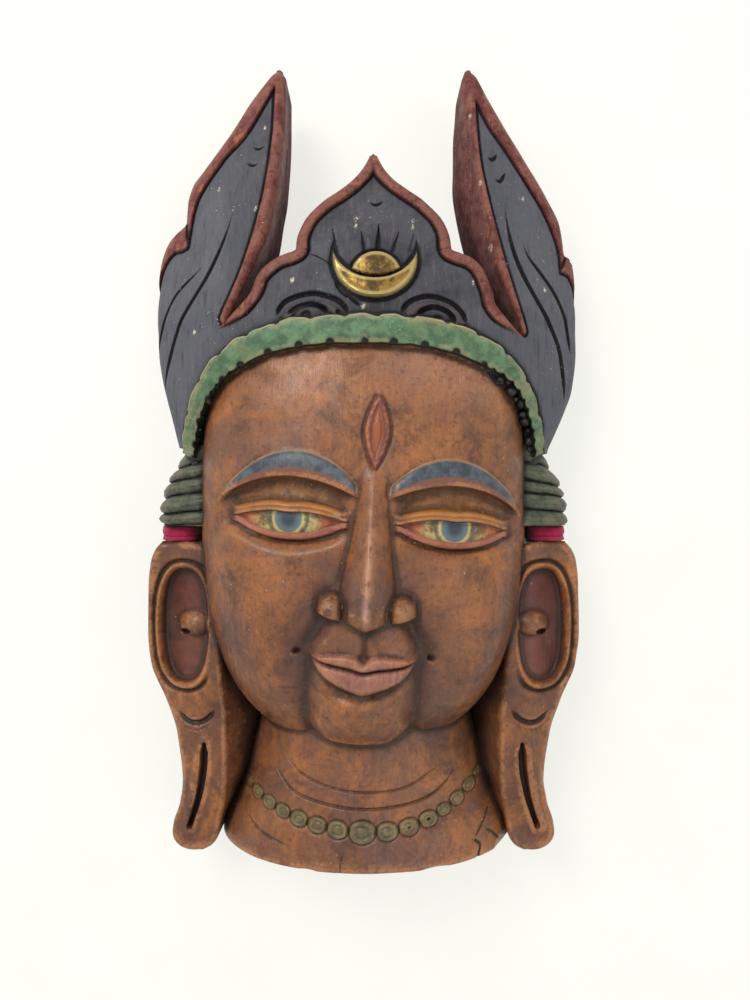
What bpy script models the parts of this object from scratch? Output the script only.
"""A crowned and painted deity mask of carved wood, lying on its back.

The row frame is in metres: +X to the right of the face, +Y towards the crown's
tips and +Z out of the face. The mask lies on Z = 0. Sizes below are in millimetres.
"""

import math

import bpy
import numpy as np

MM = 0.001

# The head: a boxy dome, wider at the cheeks and cut flat behind.
HEAD_HALF_WIDTH = 95.0
HEAD_CENTRE_Y = -18.0
HEAD_ABOVE = 120.0
HEAD_BELOW = 145.0
HEAD_RIM_Z = 30.0
HEAD_DOME = 64.0
HEAD_OUTLINE_POWER = 2.8
HEAD_SECTION_POWER = 2.3
FACE_LEAN = math.radians(3.5)
FACE_SHIFT_X = 3.5
FACE_LEAN_Y = -60.0

# The canon's module, a twelfth of the face's width, and its three equal thirds.
MODULE = HEAD_HALF_WIDTH / 6.0
FACE_THIRD = 72.0
CHIN_Y = HEAD_CENTRE_Y - 139.0
NOSE_BASE_Y = CHIN_Y + FACE_THIRD
BROW_Y = CHIN_Y + 2.0 * FACE_THIRD
HAIRLINE_Y = CHIN_Y + 3.0 * FACE_THIRD
EYE_Y = BROW_Y - 0.3 * FACE_THIRD
MOUTH_Y = NOSE_BASE_Y - FACE_THIRD / 3.0

# The hollow behind the face, and the least wall in front of it.
WALL = 15.0
HOLLOW_TOP_Y = 46.0
HOLLOW_BOTTOM_Y = -196.0
HOLLOW_DEPTH = 76.0

# The neck, sawn off square below.
NECK_HALF_WIDTH = 90.0
NECK_FRONT_Z = 77.0
NECK_BOTTOM_Y = -224.0
NECK_TOP_Y = -140.0
NECK_X = 2.0

# The crown: one bowed front that all of its leaves share.
CROWN_X = 6.0
CROWN_FRONT_Z = 82.0
CROWN_BOW = 53.0
CROWN_HALF_WIDTH = 125.0
CROWN_LEAN = 0.19
CROWN_LEAN_Y = 88.0
CENTRE_LEAF_BACK_Z = 40.0
SIDE_LEAF_TIP_Y = 227.0
SIDE_LEAF_BACK_Z = 17.0
SIDE_LEAF_PROUD = 1.6
RIM_WIDTH = 6.5
RIM_HEIGHT = 2.4

# The green band over the forehead.
BAND_LOWER_HALF_WIDTH = 96.0
BAND_LOWER_RISE = 77.0
BAND_UPPER_HALF_WIDTH = 104.0
BAND_UPPER_RISE = 92.0
BAND_PROUD = 4.5
BAND_LEAST_Z = 44.0
BAND_DEPTH = 16.0

# The ears, with their long lobes, and the pleated knots above them.
EAR_BOTTOM_Y = -227.0
EAR_BACK_Z = 9.0
EAR_FRONT_Z = 43.0
EAR_RISE_TO_FACE = 9.0
CONCHA_DEPTH = 8.0
SLIT_DEPTH = 12.0
KNOT_BACK_Z = 9.0
KNOT_FRONT_Z = 53.0
KNOT_TOP_Y = 9.0
KNOT_BOTTOM_Y = -37.4
PLEATS = 5
PLEAT_DEPTH = 3.2

# The cloth tie round the wooden post between ear and knot, and the hole beside it.
TIE_Y = -42.0
TIE_WIDTH = 8.0
TIE_CLOTH = 1.4
TIE_GAP = 0.3
TIE_TO_EAR = 0.6
POST_WIDTH = 15.0
POST_BACK_Z = 14.0
POST_FRONT_Z = 42.0
POST_CORNER = 5.0
TIE_HOLE_WIDTH = 4.9
TIE_HOLE_FROM_HEAD = 3.1

CUT_BELOW_Z = 30.0


def smooth_step(low, high, value):
    """0 below low, 1 above high, and a smooth rise between them."""
    share = np.clip((value - low) / (high - low), 0.0, 1.0)
    return share * share * (3.0 - 2.0 * share)


def rail(points):
    """A smooth curve through (y, x) points that never overshoots them, as a function of y."""
    y, x = np.array(sorted(points), float).T
    step, slope = np.diff(y), np.diff(x) / np.diff(y)
    tangent = np.zeros(len(y))
    for i in range(1, len(y) - 1):
        if slope[i - 1] * slope[i] > 0:
            ahead = 2 * step[i] + step[i - 1]
            behind = step[i] + 2 * step[i - 1]
            tangent[i] = (ahead + behind) / (ahead / slope[i - 1] + behind / slope[i])
    tangent[0], tangent[-1] = slope[0], slope[-1]

    def at(where):
        where = np.clip(where, y[0], y[-1])
        i = np.clip(np.searchsorted(y, where) - 1, 0, len(y) - 2)
        t = (where - y[i]) / step[i]
        return (
            x[i] * (1 + 2 * t) * (1 - t) ** 2
            + tangent[i] * step[i] * t * (1 - t) ** 2
            + x[i + 1] * t * t * (3 - 2 * t)
            + tangent[i + 1] * step[i] * t * t * (t - 1)
        )

    return at


def spaced(low, high, count, dense=()):
    """count values from low to high, closer together near each (place, spread, pull) of dense."""
    fine = np.linspace(low, high, 4001)
    density = np.ones_like(fine)
    for place, spread, pull in dense:
        density += pull * np.exp(-(((fine - place) / spread) ** 2))
    total = np.concatenate([[0.0], np.cumsum((density[1:] + density[:-1]) / 2)])
    return np.interp(np.linspace(0.0, total[-1], count), total, fine)


def bordered(count):
    """Places from 0 to 1 across a leaf, with both of its raised borders picked out."""
    return np.concatenate([[0.0, 0.035, 0.09, 0.115], np.linspace(0.2, 0.8, count), [0.885, 0.91, 0.965, 1.0]])


def material(name, colour, roughness, metallic=0.0):
    """A plain painted finish."""
    made = bpy.data.materials.new(name)
    made.use_nodes = True
    shader = made.node_tree.nodes["Principled BSDF"]
    shader.inputs["Base Color"].default_value = (*colour, 1.0)
    shader.inputs["Roughness"].default_value = roughness
    shader.inputs["Metallic"].default_value = metallic
    return made


def add_object(name, points, faces, finish, shown=False):
    """A mesh object from points in millimetres. One that isn't shown only joins or cuts another."""
    mesh = bpy.data.meshes.new(name)
    mesh.from_pydata([tuple(p) for p in np.asarray(points) * MM], [], faces)
    mesh.materials.append(finish)
    mesh.shade_smooth()
    made = bpy.data.objects.new(name, mesh)
    bpy.context.scene.collection.objects.link(made)
    if not shown:
        made.hide_render = True
        made.display_type = "WIRE"
    return made


def carve(name, grid, back, finish, shown=False, slant=None):
    """A closed solid: grid is the carved front as rows of points, and back gives each border point's
    place on the flat back. slant moves the back's border sideways, for a wall that isn't upright."""
    rows, columns = grid.shape[:2]
    border = (
        [(0, j) for j in range(columns)]
        + [(i, columns - 1) for i in range(1, rows)]
        + [(rows - 1, j) for j in range(columns - 2, -1, -1)]
        + [(i, 0) for i in range(rows - 2, 0, -1)]
    )
    front = grid.reshape(-1, 3)
    rim = np.array([grid[i, j] for i, j in border])
    foot = rim.copy()
    if slant is not None:
        foot[:, 0] += slant(rim[:, 0], rim[:, 1])
    foot[:, 2] = back(foot[:, 0], foot[:, 1])
    index = np.arange(rows * columns).reshape(rows, columns)
    faces = [
        (index[i, j], index[i, j + 1], index[i + 1, j + 1], index[i + 1, j])
        for i in range(rows - 1)
        for j in range(columns - 1)
    ]
    above = [index[i, j] for i, j in border]
    below = [rows * columns + k for k in range(len(border))]
    for k in range(len(border)):
        after = (k + 1) % len(border)
        faces.append((above[after], above[k], below[k], below[after]))
    faces.append(tuple(below[::-1]))
    faces = [tuple(int(v) for v in face) for face in faces]
    return add_object(name, np.vstack([front, foot]), faces, finish, shown)


def grid_between(rows, left, right, across):
    """Points of a form whose left and right outlines are functions of y: arrays of x and y."""
    y = np.repeat(rows[:, None], len(across), axis=1)
    x = left(y) + (right(y) - left(y)) * across[None, :]
    return x, y


def outline_distance(x, y, left, right):
    """How far each point lies inside the outline, across its slope."""
    levels = np.linspace(y.min(), y.max(), 160)
    loop = np.concatenate(
        [np.stack([left(levels), levels], 1), np.stack([right(levels), levels], 1)[::-1]]
    )
    start, run = loop[:-1], np.diff(loop, axis=0)
    point = np.stack([x, y], -1)[..., None, :]
    length = np.maximum((run**2).sum(-1), 1e-9)
    share = np.clip(((point - start) * run).sum(-1) / length, 0.0, 1.0)
    near = start + share[..., None] * run
    return np.sqrt(((point - near) ** 2).sum(-1)).min(-1)


def head_half_width(y):
    """Half the head's width at a height, on its superellipse outline."""
    reach = np.where(y > HEAD_CENTRE_Y, HEAD_ABOVE, HEAD_BELOW)
    share = np.clip(np.abs(y - HEAD_CENTRE_Y) / reach, 0.0, 1.0)
    power = HEAD_OUTLINE_POWER
    return HEAD_HALF_WIDTH * np.maximum(1.0 - share**power, 0.0) ** (1.0 / power)


def head_dome(x, y):
    """The head's front before any feature is carved into it."""
    reach = np.where(y > HEAD_CENTRE_Y, HEAD_ABOVE, HEAD_BELOW)
    share = np.clip(np.abs(y - HEAD_CENTRE_Y) / reach, 0.0, 1.0)
    profile = np.maximum(1.0 - share**HEAD_OUTLINE_POWER, 0.0) ** (1.0 / HEAD_OUTLINE_POWER)
    side = np.clip(np.abs(x) / np.maximum(head_half_width(y), 1e-6), 0.0, 1.0)
    section = np.maximum(1.0 - side**HEAD_SECTION_POWER, 0.0) ** (1.0 / HEAD_SECTION_POWER)
    return HEAD_RIM_Z + HEAD_DOME * profile * section


def face_place(x, y):
    """Places on the face in its own upright axes, which lean a little to the right."""
    dx, dy = x - FACE_SHIFT_X, y - FACE_LEAN_Y
    across = dx * math.cos(FACE_LEAN) - dy * math.sin(FACE_LEAN)
    up = dx * math.sin(FACE_LEAN) + dy * math.cos(FACE_LEAN) + FACE_LEAN_Y
    return across, up


def bump(a, b, centre_a, centre_b, radius_a, radius_b, power=1.0):
    """A rounded mound, 1 at its centre and 0 from its radii outwards."""
    r = ((a - centre_a) / radius_a) ** 2 + ((b - centre_b) / radius_b) ** 2
    return np.maximum(1.0 - r, 0.0) ** power


def brow_line(a):
    """The height of the brow's middle: a low bow over each eye."""
    return BROW_Y + 7.0 - 17.0 * ((a - 2.65 * MODULE) / (2.45 * MODULE)) ** 2


def brow_half_height(a):
    """Half the brow's height, tapering to both of its ends."""
    share = np.clip((a - 0.45 * MODULE) / (4.6 * MODULE), 0.0, 1.0)
    return 2.0 + 5.2 * np.sin(math.pi * share**0.8) ** 0.8


def eye_share(a):
    """-1 at the eye's inner corner and 1 at its outer corner."""
    return (a - 2.75 * MODULE) / (1.8 * MODULE)


def upper_lid(a):
    """The upper lid's edge, a bow that dips over the pupil."""
    s = np.clip(np.abs(eye_share(a)), 0.0, 1.0)
    return EYE_Y + 6.5 * (1.0 - s**2.2) - 2.6 * np.exp(-((s / 0.16) ** 2))


def lower_lid(a):
    """The lower lid's edge."""
    s = np.clip(np.abs(eye_share(a)), 0.0, 1.0)
    return EYE_Y - 7.5 * (1.0 - s**2)


def eyes_relief(a, b):
    """Sockets, eyeballs, lids and brows. a is the distance from the face's middle line."""
    brow_low = brow_line(a) - brow_half_height(a)
    across = smooth_step(0.5 * MODULE, 1.3 * MODULE, a) * (
        1.0 - smooth_step(4.6 * MODULE, 5.6 * MODULE, a)
    )
    socket = smooth_step(lower_lid(a) - 12.0, lower_lid(a) - 2.0, b)
    socket = socket * (1.0 - smooth_step(brow_low - 1.0, brow_low + 2.0, b)) * across
    relief = -6.5 * socket
    brow = 1.0 - ((b - brow_line(a)) / brow_half_height(a)) ** 2
    along = smooth_step(0.35 * MODULE, 0.8 * MODULE, a) * (
        1.0 - smooth_step(4.6 * MODULE, 5.2 * MODULE, a)
    )
    relief += 2.4 * np.sqrt(np.clip(brow, 0.0, 1.0)) * along
    relief += 5.5 * bump(a, b, 2.75 * MODULE, EYE_Y - 0.5, 2.0 * MODULE, 11.0, 0.7)
    inside = np.abs(eye_share(a)) < 1.08
    lid = smooth_step(-1.0, 0.6, b - upper_lid(a)) * (
        1.0 - smooth_step(4.0, 8.5, b - upper_lid(a))
    )
    relief += 2.4 * lid * inside
    low = smooth_step(-4.6, -3.2, b - lower_lid(a)) * (
        1.0 - smooth_step(-1.2, 0.2, b - lower_lid(a))
    )
    return relief + 1.6 * low * inside


def nose_relief(a, b):
    """The long ridged nose with its round wings, undercut straight across below."""
    top, base = BROW_Y + 4.0, NOSE_BASE_Y - 4.0 + 0.3 * a
    down = np.clip((top - b) / (top - NOSE_BASE_Y), 0.0, 1.1)
    half = 6.5 + 12.0 * down**1.3
    height = (3.5 + 26.5 * down**1.15) * (1.0 - smooth_step(top - 8.0, top + 8.0, b))
    share = np.clip(np.hypot(a, 1.5) / half, 0.0, 1.0)
    flank = (1.0 - share) * (1.0 + 0.55 * share)
    rounded = np.sqrt(np.clip((b - base) / 7.0, 0.0, 1.0))
    ridge = height * flank * (0.35 + 0.65 * rounded) * smooth_step(-1.0, 1.0, b - base)
    wing = 15.0 * bump(a, b, 1.12 * MODULE, NOSE_BASE_Y + 5.5, 8.2, 9.2, 0.55)
    return np.maximum(ridge, wing * smooth_step(-1.5, 1.0, b - base))


def muzzle_half_width(b):
    """Half the width of the raised block that carries the lips and the chin."""
    width = rail(
        (
            (CHIN_Y - 4.0, 16.0),
            (CHIN_Y + 4.0, 25.0),
            (CHIN_Y + 16.0, 30.5),
            (MOUTH_Y - 16.0, 30.0),
            (MOUTH_Y, 29.5),
            (MOUTH_Y + 7.0, 31.5),
            (NOSE_BASE_Y - 6.0, 26.0),
            (NOSE_BASE_Y + 6.0, 21.0),
        )
    )
    return width(b)


def mouth_line(a):
    """Where the lips meet: a soft bow with lifted corners."""
    return MOUTH_Y - 1.6 * np.exp(-((a / 5.0) ** 2)) + 3.4 * (a / 27.0) ** 2


def mouth_relief(a, b):
    """The block of lips and chin, parted from the cheeks by a deep fold on each side."""
    half = muzzle_half_width(b)
    upright = smooth_step(CHIN_Y - 3.0, CHIN_Y + 5.0, b) * (
        1.0 - smooth_step(NOSE_BASE_Y + 4.0, NOSE_BASE_Y + 22.0, b)
    )
    block = (1.0 - smooth_step(half - 7.0, half, a)) * upright
    bulge = np.clip(1.0 - (a / (half + 4.0)) ** 2, 0.0, 1.0)
    relief = block * (2.5 + 8.0 * bulge)
    fold_height = upright * (1.0 - smooth_step(NOSE_BASE_Y, NOSE_BASE_Y + 14.0, b))
    relief -= 6.0 * np.exp(-(((a - half) / 3.2) ** 2)) * fold_height
    lips = smooth_step(0.0, 5.0, 27.5 - a)
    over = b - mouth_line(a)
    upper = 7.5 * (1.0 - (a / 29.0) ** 2).clip(0) - 1.8 * np.exp(-((a / 3.5) ** 2))
    rise = smooth_step(-0.8, 0.8, over) * (1.0 - smooth_step(0.55, 1.0, over / (upper + 1.0)))
    relief += 3.6 * rise * lips
    lower = 12.5 * (1.0 - (a / 27.0) ** 2).clip(0) ** 0.7 + 0.5
    depth = np.clip(-over / lower, 0.0, 1.0)
    pillow = np.sqrt(np.clip(1.0 - (2.0 * depth - 1.0) ** 2, 0.0, 1.0))
    relief += 4.6 * pillow * lips * (over < 0) * (-over < lower)
    groove = np.exp(-(((-over - lower - 2.5) / 2.6) ** 2)) * smooth_step(26.0, 14.0, a)
    relief -= 2.6 * groove
    relief -= 1.6 * np.exp(-((over / 1.1) ** 2)) * lips
    channel = np.exp(-((a / 2.6) ** 2)) * smooth_step(2.0, 5.0, over)
    relief -= 2.4 * channel * (1.0 - smooth_step(NOSE_BASE_Y - 5.0, NOSE_BASE_Y - 1.0, b))
    chin = bump(a, b, 0.0, CHIN_Y + 14.0, 27.0, 19.0, 0.8)
    return relief + 6.0 * chin


def third_eye_relief(a, b):
    """The upright eye on the forehead: a raised spindle, pointed at both ends."""
    share = np.clip(np.abs(b - BROW_Y - 26.0) / 20.0, 0.0, 1.0)
    half = 0.5 + 6.5 * (1.0 - share**1.7)
    return 2.6 * np.clip(1.0 - (a / half) ** 2, 0.0, 1.0) * (share < 1.0)


def head_front(x, y):
    """The whole face."""
    across, up = face_place(x, y)
    a = np.abs(across)
    cheek = 6.5 * np.exp(-(((a - 58.0) / 30.0) ** 2) - ((up - NOSE_BASE_Y + 12.0) / 42.0) ** 2)
    jaw = smooth_step(CHIN_Y - 8.0, CHIN_Y + 20.0, up)
    nose, mouth = nose_relief(a, up), mouth_relief(a, up)
    relief = cheek * jaw + eyes_relief(a, up) + third_eye_relief(a, up)
    relief += np.where(nose > 0.0, np.maximum(nose, mouth), mouth)
    near_edge = smooth_step(0.0, 16.0, head_half_width(y) - np.abs(x))
    shown = 1.0 - smooth_step(HAIRLINE_Y, HAIRLINE_Y + 15.0, y)
    return head_dome(x, y) + relief * near_edge * shown


def face_levels(a):
    """Heights that follow the chin, lips, nose, lids and brow, lowest first, and the rows up to each."""
    reach = np.minimum(a, 1.7 * MODULE)
    eye = 2.75 * MODULE + np.clip(a - 2.75 * MODULE, -1.45 * MODULE, 1.45 * MODULE)
    brow = np.clip(a, 0.6 * MODULE, 5.0 * MODULE)
    low_lip = 12.5 * (1.0 - (reach / 27.0) ** 2).clip(0) ** 0.7
    top_lip = 7.5 * (1.0 - (reach / 29.0) ** 2).clip(0)
    nose = NOSE_BASE_Y - 4.0 + 0.3 * reach
    brow_low = brow_line(brow) - brow_half_height(brow)
    flat = np.zeros_like(a)
    return (
        (flat + HEAD_CENTRE_Y - HEAD_BELOW, 0),
        (flat + CHIN_Y - 3.5, 2),
        (flat + CHIN_Y + 5.0, 4),
        (mouth_line(reach) - low_lip - 2.5, 4),
        (mouth_line(reach) - 0.6, 3),
        (mouth_line(reach) + 0.8, 1),
        (mouth_line(reach) + top_lip + 1.0, 2),
        (nose - 1.0, 2),
        (nose + 1.2, 1),
        (nose + 8.0, 2),
        (lower_lid(eye) - 4.8, 6),
        (lower_lid(eye) - 3.0, 1),
        (lower_lid(eye) - 0.5, 1),
        (upper_lid(eye) - 0.8, 2),
        (upper_lid(eye) + 0.7, 1),
        (upper_lid(eye) + 4.5, 1),
        (brow_low - 0.8, 1),
        (brow_low + 1.6, 1),
        (brow_line(brow) + brow_half_height(brow) - 0.5, 2),
        (flat + HAIRLINE_Y - 6.0, 9),
        (flat + HEAD_CENTRE_Y + HEAD_ABOVE, 5),
    )


def face_fold(y):
    """How far from the middle line the nose, the muzzle's fold and the chin reach."""
    fold = rail(
        (
            (CHIN_Y - 6.0, 18.0),
            (CHIN_Y + 6.0, 27.0),
            (MOUTH_Y, 30.0),
            (NOSE_BASE_Y, 25.0),
            (NOSE_BASE_Y + 20.0, 22.0),
            (EYE_Y, 17.0),
            (BROW_Y + 8.0, 11.0),
            (HEAD_CENTRE_Y + HEAD_ABOVE, 8.0),
        )
    )
    return np.minimum(fold(y), 0.5 * head_half_width(y))


def make_head(finish):
    """The head's solid, on a grid whose rows and columns follow the features."""
    near = (0.12, 0.3, 0.5, 0.68, 0.82, 0.92, 1.0)
    far = (0.06, 0.17, 0.3, 0.43, 0.56, 0.69, 0.81, 0.9, 0.96, 1.0)
    side = np.array([0.0, *near, *(1.0 + v for v in far)])
    across = np.concatenate([-side[:0:-1], side])
    count = 1 + sum(rows for _, rows in face_levels(np.zeros(1)))
    y = np.repeat(np.linspace(-150.0, 90.0, count)[:, None], len(across), axis=1)
    for _ in range(6):
        half = np.maximum(head_half_width(y), 1.5)
        fold = np.minimum(face_fold(y), half * 0.5)
        edge = smooth_step(0.0, 14.0, y - HEAD_CENTRE_Y + HEAD_BELOW) * smooth_step(
            0.0, 14.0, HEAD_CENTRE_Y + HEAD_ABOVE - y
        )
        middle = (FACE_SHIFT_X + (y - FACE_LEAN_Y) * math.tan(FACE_LEAN)) * edge
        share = np.abs(across)[None, :]
        turn = np.sign(across)[None, :]
        outward = np.maximum(share - 1.0, 0.0)
        x = (middle + turn * fold * np.minimum(share, 1.0)) * (1.0 - outward) + turn * half * outward
        a = np.abs(face_place(x, y)[0])
        tilt = (x - FACE_SHIFT_X) * math.tan(FACE_LEAN)
        levels = face_levels(a)
        steps = np.cumsum([rows for _, rows in levels])
        for row in range(count):
            part = max(1, int(np.searchsorted(steps, row)))
            low, high = levels[part - 1][0][row], levels[part][0][row]
            along = (row - steps[part - 1]) / max(steps[part] - steps[part - 1], 1)
            fade = smooth_step(0.0, 6.0, float(row)) * smooth_step(0.0, 8.0, float(count - 1 - row))
            y[row] = low + (high - low) * along - tilt[row] * fade
    grid = np.stack([x, y, head_front(x, y)], -1)
    return carve("head_form", grid, lambda x, y: 0.0 * x - CUT_BELOW_Z, finish)


def make_neck(finish):
    """The flaring half-round neck, with its two folds."""
    half = rail(
        (
            (NECK_TOP_Y, NECK_HALF_WIDTH - 29.0),
            (NECK_TOP_Y - 26.0, NECK_HALF_WIDTH - 20.0),
            (NECK_TOP_Y - 48.0, NECK_HALF_WIDTH - 13.0),
            (NECK_TOP_Y - 72.0, NECK_HALF_WIDTH - 2.0),
            (NECK_BOTTOM_Y, NECK_HALF_WIDTH),
        )
    )
    rows = spaced(NECK_BOTTOM_Y, NECK_TOP_Y, 15, ((NECK_BOTTOM_Y, 3.0, 4.0),))
    turn = np.linspace(-math.pi / 2, math.pi / 2, 25)
    y = np.repeat(rows[:, None], len(turn), axis=1)
    x = NECK_X + half(y) * np.sin(turn)[None, :]
    depth = NECK_FRONT_Z - 8.0 * smooth_step(NECK_BOTTOM_Y, NECK_TOP_Y, y)
    z = depth * np.maximum(np.cos(turn), 0.0)[None, :] ** 0.87
    for fold in (0.0, 1.0):
        line = NECK_TOP_Y - 36.0 - 13.0 * fold + (0.0048 + 0.0012 * fold) * (x - NECK_X) ** 2
        z = z - 1.2 * np.exp(-(((y - line) / 2.2) ** 2)) * (np.abs(x - NECK_X) < 62.0)
    z = z - 2.0 * (1.0 - smooth_step(0.0, 2.5, y - NECK_BOTTOM_Y))
    grid = np.stack([x, y, z], -1)
    return carve("neck_form", grid, lambda x, y: 0.0 * x - CUT_BELOW_Z, finish)


def crown_front(x, y):
    """The crown's front: bowed round the head, and leaning back above the band."""
    over = y - CROWN_LEAN_Y + 20.0
    lifted = np.where(over > 12.0, over, 12.0 * np.exp(np.minimum(over / 12.0 - 1.0, 0.0)))
    return (
        CROWN_FRONT_Z
        - CROWN_BOW * ((x - CROWN_X) / CROWN_HALF_WIDTH) ** 2
        - CROWN_LEAN * (lifted - 20.0)
    )


def rim_profile(inset):
    """A raised border that a fine groove parts from the panel inside it."""
    rounded = 1.0 - smooth_step(0.0, 2.4, inset)
    border = 1.0 - smooth_step(RIM_WIDTH - 1.2, RIM_WIDTH + 1.0, inset)
    return RIM_HEIGHT * border - 1.8 * rounded


def drawn_to(points, root, tip):
    """An outline of (y, x) points moved so that it starts at root and ends at tip."""
    start, end = points[0][0], points[-1][0]
    return tuple((root + (y - start) * (tip - root) / (end - start), x) for y, x in points)


CENTRE_LEAF = (
    (58.0, 97.0),
    (70.0, 90.0),
    (76.0, 79.0),
    (85.5, 69.3),
    (93.2, 64.5),
    (104.2, 60.6),
    (110.4, 54.0),
    (112.6, 47.0),
    (113.6, 42.6),
    (119.5, 42.0),
    (131.5, 37.0),
    (141.3, 27.3),
    (147.0, 18.5),
    (153.0, 11.0),
    (160.0, 5.5),
    (167.5, 1.8),
)


def make_centre_leaf(finish):
    """The middle leaf: an ogee over two round shoulders, with a sun in a crescent moon."""
    half = rail(CENTRE_LEAF)
    rows = spaced(CENTRE_LEAF[0][0], CENTRE_LEAF[-1][0], 23, ((112.0, 4.0, 4.0), (165.0, 6.0, 1.0)))
    x, y = grid_between(rows, lambda y: CROWN_X - half(y), lambda y: CROWN_X + half(y), bordered(9))
    inset = outline_distance(x, y, lambda y: CROWN_X - half(y), lambda y: CROWN_X + half(y))
    z = crown_front(x, y) + rim_profile(inset)
    moon_x, moon_y = x - CROWN_X, y - 112.0
    outer = 23.0 - np.hypot(moon_x, moon_y)
    inner = np.hypot(moon_x, moon_y - 13.0) - 24.5
    z = z + 3.0 * smooth_step(-1.0, 2.0, np.minimum(outer, inner))
    z = z + 2.6 * bump(moon_x, moon_y, 0.0, -3.0, 13.0, 10.0, 0.6) * (inner < 0)
    grid = np.stack([x, y, z], -1)
    return carve("centre_leaf_form", grid, lambda x, y: 0.0 * x + CENTRE_LEAF_BACK_Z, finish)


LEFT_LEAF_OUTER = (
    (8.0, 105.0),
    (37.0, 114.3),
    (67.0, 122.0),
    (98.0, 125.5),
    (121.0, 124.5),
    (133.0, 119.5),
    (139.0, 112.0),
    (141.0, 107.5),
    (143.0, 106.0),
    (155.0, 106.0),
    (166.0, 101.0),
    (173.0, 93.0),
    (180.5, 85.3),
    (194.6, 72.2),
    (209.3, 63.7),
    (217.4, 57.0),
    (224.3, 51.6),
    (227.0, 49.0),
)
LEFT_LEAF_INNER = (
    (8.0, 90.0),
    (50.0, 83.0),
    (70.0, 78.0),
    (80.0, 72.5),
    (99.0, 60.6),
    (114.0, 54.5),
    (151.0, 47.4),
    (201.0, 44.6),
    (220.0, 44.6),
    (227.0, 46.5),
)
RIGHT_LEAF_OUTER = (
    (4.0, 109.0),
    (25.0, 118.0),
    (43.4, 123.0),
    (68.0, 126.5),
    (106.0, 126.5),
    (116.5, 125.3),
    (121.5, 122.5),
    (122.6, 119.5),
    (129.4, 118.6),
    (141.5, 116.8),
    (151.8, 111.5),
    (161.8, 104.9),
    (176.6, 94.0),
    (192.0, 83.0),
    (209.7, 71.8),
    (222.0, 65.1),
    (227.0, 61.0),
)
RIGHT_LEAF_INNER = (
    (4.0, 90.0),
    (50.0, 87.0),
    (68.0, 89.5),
    (75.3, 87.8),
    (88.8, 81.9),
    (109.0, 74.0),
    (139.0, 67.0),
    (166.0, 62.6),
    (184.5, 60.0),
    (204.3, 57.6),
    (220.0, 57.0),
    (227.0, 58.5),
)
RIGHT_LEAF_SLANT = 6.0


def make_side_leaf(name, side, outer_points, inner_points, slant, finish):
    """A tall flame-shaped leaf with a raised border, thick at its inner edge."""
    lowest, highest = outer_points[0][0], SIDE_LEAF_TIP_Y
    outer = rail(drawn_to(outer_points, lowest, highest))
    inner = rail(drawn_to(inner_points, lowest, highest))
    step = lowest + 0.58 * (highest - lowest)
    rows = spaced(lowest, highest, 23, ((step, 8.0, 1.8), (highest, 6.0, 2.0)))

    def left(y):
        return -outer(y) if side < 0 else inner(y)

    def right(y):
        return -inner(y) if side < 0 else outer(y)

    x, y = grid_between(rows, left, right, bordered(5))
    inset = outline_distance(x, y, left, right)
    z = crown_front(x, y) + rim_profile(inset) + SIDE_LEAF_PROUD

    def lean(x, y):
        return np.where(np.abs(x) < inner(y) + 2.0, -side * slant * smooth_step(90.0, 140.0, y), 0.0)

    grid = np.stack([x, y, z], -1)
    return carve(name, grid, lambda x, y: 0.0 * x + SIDE_LEAF_BACK_Z, finish, slant=lean)


def superellipse(half_width, rise, turn):
    """A point of the band's arch, from the right end (0) over the top to the left end (pi)."""
    power = 2.0 / HEAD_OUTLINE_POWER
    across = np.sign(np.cos(turn)) * np.abs(np.cos(turn)) ** power
    return half_width * across, HEAD_CENTRE_Y + rise * np.abs(np.sin(turn)) ** power


def make_band(finish):
    """The green band that arches over the forehead."""
    turn = np.linspace(math.radians(172.0), math.radians(8.0), 49)
    low_x, low_y = superellipse(BAND_LOWER_HALF_WIDTH, BAND_LOWER_RISE, turn)
    high_x, high_y = superellipse(BAND_UPPER_HALF_WIDTH, BAND_UPPER_RISE, turn)
    level = np.maximum(head_dome(low_x * 0.97, low_y - 2.0) + BAND_PROUD, BAND_LEAST_Z)
    across = np.array([0.0, 0.12, 0.5, 0.88, 1.0])
    edge = np.array([-1.8, 0.0, 0.5, 0.0, -1.8])
    x = low_x[None, :] + (high_x - low_x)[None, :] * across[:, None]
    y = low_y[None, :] + (high_y - low_y)[None, :] * across[:, None]
    z = level[None, :] + edge[:, None]
    front = np.stack([x, y, z], -1)
    under = front[[0, -1]] - np.array([0.0, 0.0, BAND_DEPTH])
    ring = np.concatenate([front, under[::-1]], 0)
    count, columns = ring.shape[:2]
    index = np.arange(count * columns).reshape(count, columns)
    faces = [
        (index[i, j], index[i, j + 1], index[(i + 1) % count, j + 1], index[(i + 1) % count, j])
        for i in range(count)
        for j in range(columns - 1)
    ]
    faces.append(tuple(index[::1, 0]))
    faces.append(tuple(index[::-1, -1]))
    faces = [tuple(int(v) for v in face) for face in faces]
    return add_object("band_form", ring.reshape(-1, 3), faces, finish)


EAR_LENGTH_DRAWN = 180.4
EAR_OUTER = (
    (0.0, 19.5),
    (-2.0, 22.0),
    (-5.5, 26.0),
    (-11.5, 29.0),
    (-26.5, 31.0),
    (-51.5, 31.5),
    (-71.5, 29.0),
    (-91.5, 20.5),
    (-111.5, 13.0),
    (-136.5, 9.5),
    (-151.5, 12.0),
    (-164.5, 16.6),
    (-173.5, 15.8),
    (-178.4, 11.5),
    (-EAR_LENGTH_DRAWN, 7.0),
)
EAR_INNER = (
    (0.0, 8.0),
    (-3.5, -2.0),
    (-13.5, -9.0),
    (-81.5, -15.0),
    (-101.5, -17.0),
    (-131.5, -17.4),
    (-148.5, -15.4),
    (-169.5, -10.7),
    (-177.4, -4.5),
    (-EAR_LENGTH_DRAWN, 2.0),
)


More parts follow.
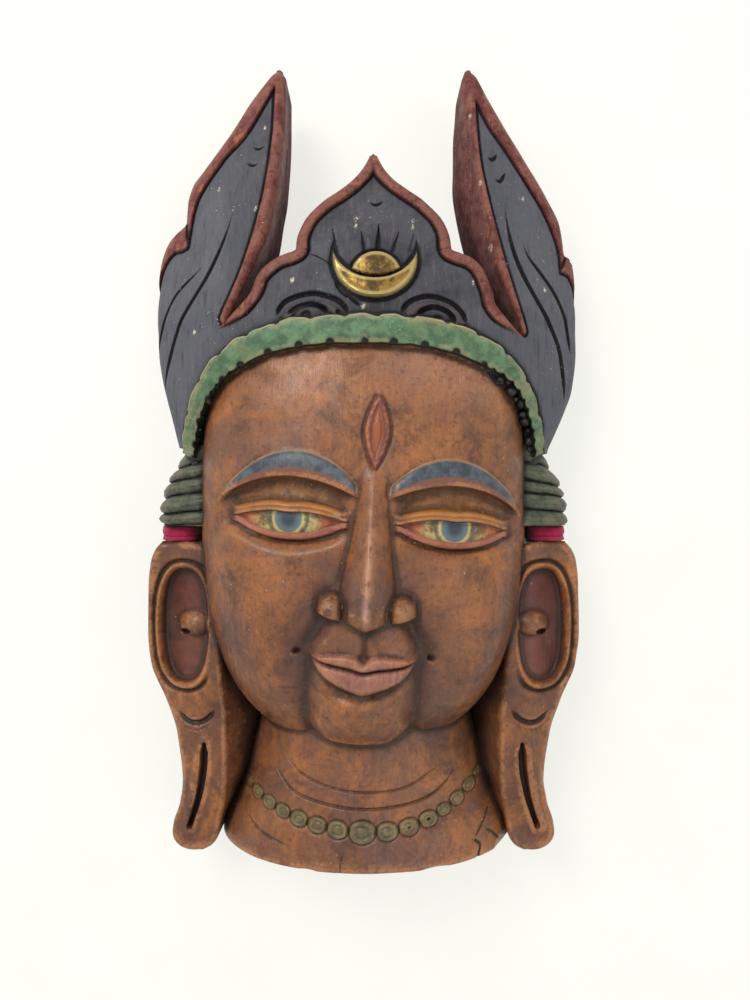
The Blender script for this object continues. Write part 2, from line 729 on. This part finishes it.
def ear_front(x, down, inset):
    """The ear's front, x measured outwards from the head's side and down from the ear's top: its
    helix, concha, lobe and slit."""
    z = EAR_FRONT_Z + EAR_RISE_TO_FACE * (1.0 - smooth_step(0.0, 22.0, x))
    z = z - 2.5 * (1.0 - smooth_step(0.0, 2.5, inset))
    oval = np.hypot((x - 8.0) / 15.0, (down - 45.5) / 36.0)
    z = z - CONCHA_DEPTH * (1.0 - smooth_step(0.8, 1.04, oval))
    trough = np.exp(-(((oval - 1.28) / 0.13) ** 2)) * (x > -4.0)
    z = z - 4.5 * trough * smooth_step(-8.0, 1.0, down - 5.0)
    z = z + 7.0 * bump(x, down, 3.0, 41.5, 7.0, 8.5, 0.6)
    middle = -3.5 + 0.0028 * (down - 118.5) ** 2 * np.where(down > 118.5, 1.0, 0.4)
    along = smooth_step(111.0, 121.0, down) * (1.0 - smooth_step(158.0, 170.0, down))
    return z - SLIT_DEPTH * np.exp(-(((x - middle) / 3.0) ** 2)) * along


def make_ear(name, side, finish):
    """A long ear with a hollowed concha, and a lobe that hangs beside the neck."""
    top = TIE_Y - TIE_WIDTH / 2 - TIE_TO_EAR
    outer = rail(drawn_to(EAR_OUTER, top, EAR_BOTTOM_Y))
    inner = rail(drawn_to(EAR_INNER, top, EAR_BOTTOM_Y))
    rows = spaced(EAR_BOTTOM_Y, top, 28, ((top, 4.0, 2.0), (EAR_BOTTOM_Y, 5.0, 2.0)))
    across = np.linspace(0.0, 1.0, 12)

    def near(y):
        return inner(y)

    def far(y):
        return outer(y)

    x, y = grid_between(rows, near, far, across)
    inset = outline_distance(x, y, near, far)
    z = ear_front(x, (top - y) * EAR_LENGTH_DRAWN / (top - EAR_BOTTOM_Y), inset)
    x = side * (x + HEAD_HALF_WIDTH)
    grid = np.stack([x, y, z], -1)
    if side < 0:
        grid = grid[:, ::-1]
    return carve(name, grid, lambda x, y: 0.0 * x + EAR_BACK_Z, finish)


def make_knot(name, side, finish):
    """The pleated knot of cloth carved between band and ear."""
    reach = rail(
        (
            (KNOT_BOTTOM_Y, 19.0),
            (KNOT_BOTTOM_Y + 5.0, 24.5),
            (KNOT_BOTTOM_Y + 15.0, 26.5),
            (KNOT_BOTTOM_Y + 27.0, 24.0),
            (KNOT_BOTTOM_Y + 37.0, 18.0),
            (KNOT_TOP_Y, 11.0),
        )
    )
    rows = np.linspace(KNOT_BOTTOM_Y, KNOT_TOP_Y, 4 * PLEATS + 1)
    turn = np.linspace(0.0, math.pi / 2, 7)
    y = np.repeat(rows[:, None], len(turn), axis=1)
    pitch = (KNOT_TOP_Y - KNOT_BOTTOM_Y) / PLEATS
    wave = np.abs(np.sin(math.pi * (y - KNOT_BOTTOM_Y) / pitch)) ** 0.7 - 1.0
    depth = reach(y) + 12.0 + PLEAT_DEPTH * wave
    x = HEAD_HALF_WIDTH - 12.0 + depth * np.sin(turn)[None, :]
    y = y - 0.25 * (x - HEAD_HALF_WIDTH) * (y - KNOT_BOTTOM_Y) / (KNOT_TOP_Y - KNOT_BOTTOM_Y)
    height = KNOT_FRONT_Z - KNOT_BACK_Z - 14.0 + PLEAT_DEPTH * wave
    z = KNOT_BACK_Z + 14.0 + height * np.cos(turn)[None, :] ** 0.8
    grid = np.stack([side * x, y, z], -1)
    if side < 0:
        grid = grid[:, ::-1]
    return carve(name, grid, lambda x, y: 0.0 * x + KNOT_BACK_Z, finish)


def post_span():
    """The post's inner and outer x, beyond the tie hole at the head's side."""
    inner = HEAD_HALF_WIDTH + TIE_HOLE_FROM_HEAD + TIE_HOLE_WIDTH
    return inner, inner + POST_WIDTH


def box_form(name, low, high, finish, corner=0.0):
    """An upright bar along Y with chamfered corners, from one corner point to the other."""
    (x0, y0, z0), (x1, y1, z1) = low, high
    ring = [
        (x0 + corner, z0),
        (x1 - corner, z0),
        (x1, z0 + corner),
        (x1, z1 - corner),
        (x1 - corner, z1),
        (x0 + corner, z1),
        (x0, z1 - corner),
        (x0, z0 + corner),
    ]
    if corner == 0.0:
        ring = [(x0, z0), (x1, z0), (x1, z1), (x0, z1)]
    points = [(x, y0, z) for x, z in ring] + [(x, y1, z) for x, z in ring]
    count = len(ring)
    faces = [(k, count + k, count + (k + 1) % count, (k + 1) % count) for k in range(count)]
    faces += [tuple(range(count)), tuple(range(count, 2 * count))[::-1]]
    return add_object(name, points, faces, finish)


def make_post(side, finish):
    """The bar of wood that the tie is wound round, reaching into ear and knot."""
    x = sorted(side * edge for edge in post_span())
    low = (x[0], TIE_Y - 14.0, POST_BACK_Z)
    high = (x[1], TIE_Y + 16.0, POST_FRONT_Z)
    return box_form(f"post_form_{side:+d}", low, high, finish, POST_CORNER)


def tie_ring(inset, steps):
    """The rounded section of the post, grown by inset, as (x, z) points in order."""
    corner = POST_CORNER + inset
    half_x = POST_WIDTH / 2 + inset - corner
    half_z = (POST_FRONT_Z - POST_BACK_Z) / 2 + inset - corner
    middle_x = sum(post_span()) / 2
    middle_z = (POST_FRONT_Z + POST_BACK_Z) / 2
    ring = []
    for quarter, (sx, sz) in enumerate(((1, 1), (-1, 1), (-1, -1), (1, -1))):
        for k in range(steps + 1):
            turn = math.pi / 2 * (quarter + k / steps)
            ring.append(
                (
                    middle_x + sx * half_x + corner * math.cos(turn),
                    middle_z + sz * half_z + corner * math.sin(turn),
                )
            )
    return ring


def make_tie(name, side, finish):
    """The strip of crimson cloth wound round the post and closed on itself."""
    inner, outer = tie_ring(TIE_GAP, 4), tie_ring(TIE_GAP + TIE_CLOTH, 4)
    count = len(inner)
    points = [
        (side * x, TIE_Y + end * TIE_WIDTH / 2, z)
        for end in (-1.0, 1.0)
        for ring in (inner, outer)
        for x, z in ring
    ]
    low_in, low_out, high_in, high_out = 0, count, 2 * count, 3 * count
    faces = []
    for k in range(count):
        n = (k + 1) % count
        faces += [
            (low_in + k, low_in + n, low_out + n, low_out + k),
            (high_in + n, high_in + k, high_out + k, high_out + n),
            (low_out + k, low_out + n, high_out + n, high_out + k),
            (low_in + n, low_in + k, high_in + k, high_in + n),
        ]
    if side > 0:
        faces = [face[::-1] for face in faces]
    return add_object(name, points, faces, finish, shown=True)


def make_hollow(finish):
    """The cutter for the hollow behind the face: a smooth bowl that follows the head inside its wall."""
    rows = spaced(HOLLOW_BOTTOM_Y, HOLLOW_TOP_Y, 21, ((HOLLOW_BOTTOM_Y, 6.0, 2.0), (HOLLOW_TOP_Y, 6.0, 2.0)))
    middle = (HOLLOW_TOP_Y + HOLLOW_BOTTOM_Y) / 2
    share = np.clip(np.abs(rows - middle) / (HOLLOW_TOP_Y - middle), 0.0, 1.0)
    profile = np.maximum(1.0 - share**2.6, 0.0) ** (1.0 / 2.6)
    narrow = rail(
        (
            (HOLLOW_BOTTOM_Y, NECK_HALF_WIDTH - 2.2 * WALL),
            (CHIN_Y, NECK_HALF_WIDTH - 2.4 * WALL),
            (MOUTH_Y, HEAD_HALF_WIDTH - 1.5 * WALL),
            (EYE_Y, HEAD_HALF_WIDTH - WALL),
            (HOLLOW_TOP_Y, HEAD_HALF_WIDTH - 1.6 * WALL),
        )
    )
    shallow = rail(
        (
            (HOLLOW_BOTTOM_Y, NECK_FRONT_Z - 2.4 * WALL),
            (CHIN_Y, NECK_FRONT_Z - 1.8 * WALL),
            (MOUTH_Y, HOLLOW_DEPTH - 4.0),
            (EYE_Y, HOLLOW_DEPTH),
            (HOLLOW_TOP_Y, HOLLOW_DEPTH - 8.0),
        )
    )
    half = np.maximum(narrow(rows) * profile, 3.0)
    depth = shallow(rows) * np.maximum(profile, 0.05)
    turn = np.linspace(-math.pi / 2, math.pi / 2, 19)
    y = np.repeat(rows[:, None], len(turn), axis=1)
    x = half[:, None] * np.sin(turn)[None, :]
    z = depth[:, None] * np.maximum(np.cos(turn), 0.0)[None, :] ** 0.8
    grid = np.stack([x, y, z], -1)
    return carve("hollow_cutter", grid, lambda x, y: 0.0 * x - 2.0 * CUT_BELOW_Z, finish)


def combine(target, name, others, operation):
    """Joins or cuts all of the other forms in one exact Boolean step."""
    group = bpy.data.collections.new(name)
    bpy.context.scene.collection.children.link(group)
    for other in others:
        bpy.context.scene.collection.objects.unlink(other)
        group.objects.link(other)
    step = target.modifiers.new(name, "BOOLEAN")
    step.operation = operation
    step.solver = "EXACT"
    step.operand_type = "COLLECTION"
    step.collection = group


def clear_scene():
    """Empties the scene of what it started with."""
    for old in list(bpy.data.objects):
        bpy.data.objects.remove(old)


def main():
    """Carves the mask as one solid, and winds the two ties round their posts."""
    clear_scene()
    skin = material("painted_skin", (0.27, 0.11, 0.045), 0.5)
    slate = material("slate_paint", (0.075, 0.07, 0.085), 0.55)
    green = material("green_paint", (0.08, 0.17, 0.11), 0.6)
    knot_green = material("dark_green_paint", (0.05, 0.07, 0.045), 0.6)
    cloth = material("crimson_cloth", (0.32, 0.012, 0.05), 0.8)
    mask = make_head(skin)
    mask.name = "mask"
    mask.hide_render = False
    mask.display_type = "TEXTURED"
    forms = (
        make_neck(skin),
        make_centre_leaf(slate),
        make_side_leaf("left_leaf_form", -1, LEFT_LEAF_OUTER, LEFT_LEAF_INNER, 0.0, slate),
        make_side_leaf(
            "right_leaf_form", 1, RIGHT_LEAF_OUTER, RIGHT_LEAF_INNER, RIGHT_LEAF_SLANT, slate
        ),
        make_band(green),
        make_ear("left_ear_form", -1, skin),
        make_ear("right_ear_form", 1, skin),
        make_knot("left_knot_form", -1, knot_green),
        make_knot("right_knot_form", 1, knot_green),
        make_post(-1, skin),
        make_post(1, skin),
    )
    combine(mask, "carved_forms", forms, "UNION")
    reach = 2.0 * CROWN_HALF_WIDTH
    floor = ((-reach, -reach, -3.0 * CUT_BELOW_Z), (reach, reach, 0.0))
    cutters = [make_hollow(skin), box_form("floor_cutter", *floor, skin)]
    for side in (-1, 1):
        x = sorted((side * post_span()[0], side * (post_span()[0] - TIE_HOLE_WIDTH)))
        low = (x[0], TIE_Y - TIE_WIDTH / 2 - 1.0, -CUT_BELOW_Z)
        high = (x[1], TIE_Y + TIE_WIDTH / 2 + 1.0, 4.0 * CUT_BELOW_Z)
        cutters.append(box_form(f"tie_hole_{side:+d}", low, high, skin))
        make_tie("tie_left" if side < 0 else "tie_right", side, cloth)
    combine(mask, "cutters", cutters, "DIFFERENCE")


main()
